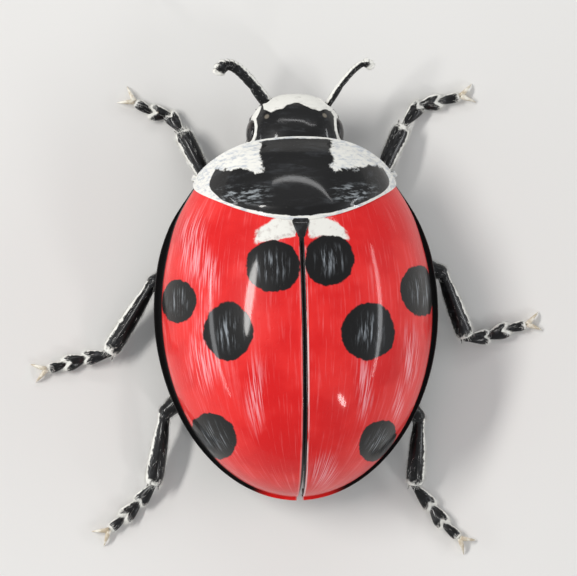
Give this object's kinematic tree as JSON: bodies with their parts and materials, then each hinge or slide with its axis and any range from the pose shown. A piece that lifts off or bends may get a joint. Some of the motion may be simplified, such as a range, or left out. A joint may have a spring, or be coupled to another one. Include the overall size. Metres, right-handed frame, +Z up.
{
  "type": "ladybird",
  "caption": "Seven-spot ladybird, a small domed beetle with red spotted wing cases, as a still life-size model standing on its feet with its feelers spread.",
  "frame": {"origin": "on the floor, under the body's middle plane and the middle of the animal's length, within half a millimetre of the middle of its box, whose sides depend on how each foot is placed", "axes": "+Y towards the head, +Z up through the back, +X to the animal's right side; the body's middle plane is x = 0"},
  "size_m": [0.0099, 0.0098, 0.0035],
  "materials": {
    "red_shell": "gloss",
    "black_shell": "gloss",
    "pale_shell": "satin",
    "underside": "satin",
    "eye": "gloss",
    "limb_shell": "satin",
    "mouthparts": "satin"
  },
  "bodies": {
    "root": {"head": "black_shell", "face": "pale_shell", "lip": "mouthparts", "chin": "mouthparts", "eye_left": "eye", "jaw_left": "mouthparts", "palp_left": "mouthparts", "eye_right": "eye", "jaw_right": "mouthparts", "palp_right": "mouthparts", "feeler_left_stem": "limb_shell", "feeler_left_club": "limb_shell", "feeler_right_stem": "limb_shell", "feeler_right_club": "limb_shell", "shield": "black_shell", "throat": "underside", "scutellum": "black_shell", "middle_thorax": "underside", "side_plate_left": "pale_shell", "side_plate_right": "pale_shell", "hind_thorax": "underside", "wing_case_left": "red_shell", "wing_case_right": "red_shell", "abdomen_1": "underside", "abdomen_2": "underside", "abdomen_3": "underside", "abdomen_4": "underside", "abdomen_5": "underside", "front_left_hip": "limb_shell", "front_left_thigh": "limb_shell", "front_left_shin": "limb_shell", "front_left_foot": "limb_shell", "front_right_hip": "limb_shell", "front_right_thigh": "limb_shell", "front_right_shin": "limb_shell", "front_right_foot": "limb_shell", "middle_left_hip": "limb_shell", "middle_left_thigh": "limb_shell", "middle_left_shin": "limb_shell", "middle_left_foot": "limb_shell", "middle_right_hip": "limb_shell", "middle_right_thigh": "limb_shell", "middle_right_shin": "limb_shell", "middle_right_foot": "limb_shell", "hind_left_hip": "limb_shell", "hind_left_thigh": "limb_shell", "hind_left_shin": "limb_shell", "hind_left_foot": "limb_shell", "hind_right_hip": "limb_shell", "hind_right_thigh": "limb_shell", "hind_right_shin": "limb_shell", "hind_right_foot": "limb_shell"}
  },
  "joints": []
}
